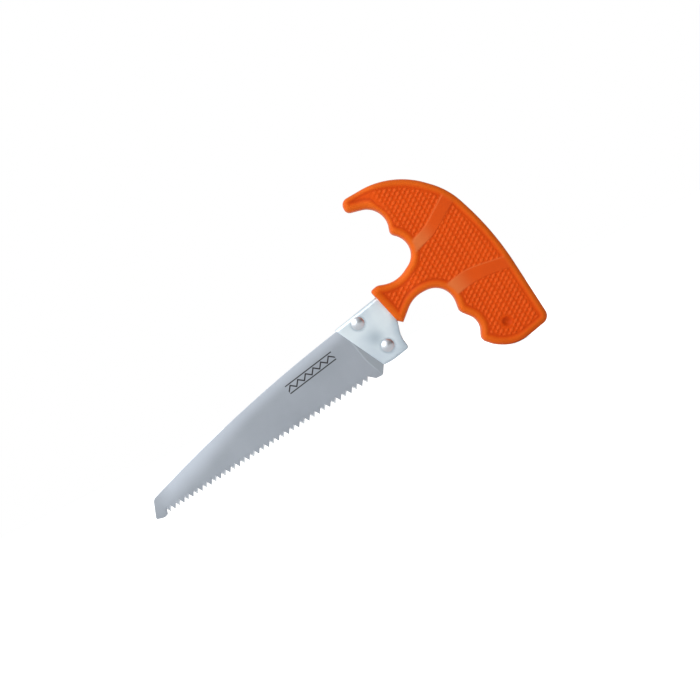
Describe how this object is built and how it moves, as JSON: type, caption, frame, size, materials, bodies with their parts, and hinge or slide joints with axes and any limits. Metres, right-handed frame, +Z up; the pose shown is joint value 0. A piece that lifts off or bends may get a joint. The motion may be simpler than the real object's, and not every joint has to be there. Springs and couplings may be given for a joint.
{
  "type": "game saw with T handle",
  "caption": "Short fixed-blade game and bone saw: tapered peg-tooth blade riveted into a folded steel bracket, with a moulded rubber T-handle that has finger grooves.",
  "frame": {"origin": "on the ground under the middle of the saw, standing on its edge on the blade's nose and the handle's lower end", "axes": "+X from the blade's nose to the palm side of the handle, +Y across the thickness, +Z up"},
  "size_m": [0.2292, 0.019, 0.1072],
  "materials": {
    "blade_steel": "matte bead-blasted stainless steel",
    "bracket_steel": "satin stainless steel sheet",
    "rivet_steel": "polished steel",
    "core_plastic": "rigid glass-filled nylon",
    "grip_rubber": "blaze-orange moulded rubber with a fine woven texture"
  },
  "bodies": {
    "root": {"saw_blade": "blade_steel", "blade_bracket": "bracket_steel", "spine_rivet_tube": "rivet_steel", "spine_rivet_post": "rivet_steel", "heel_rivet_tube": "rivet_steel", "heel_rivet_post": "rivet_steel", "handle_core": "core_plastic", "grip": "grip_rubber"}
  },
  "joints": []
}
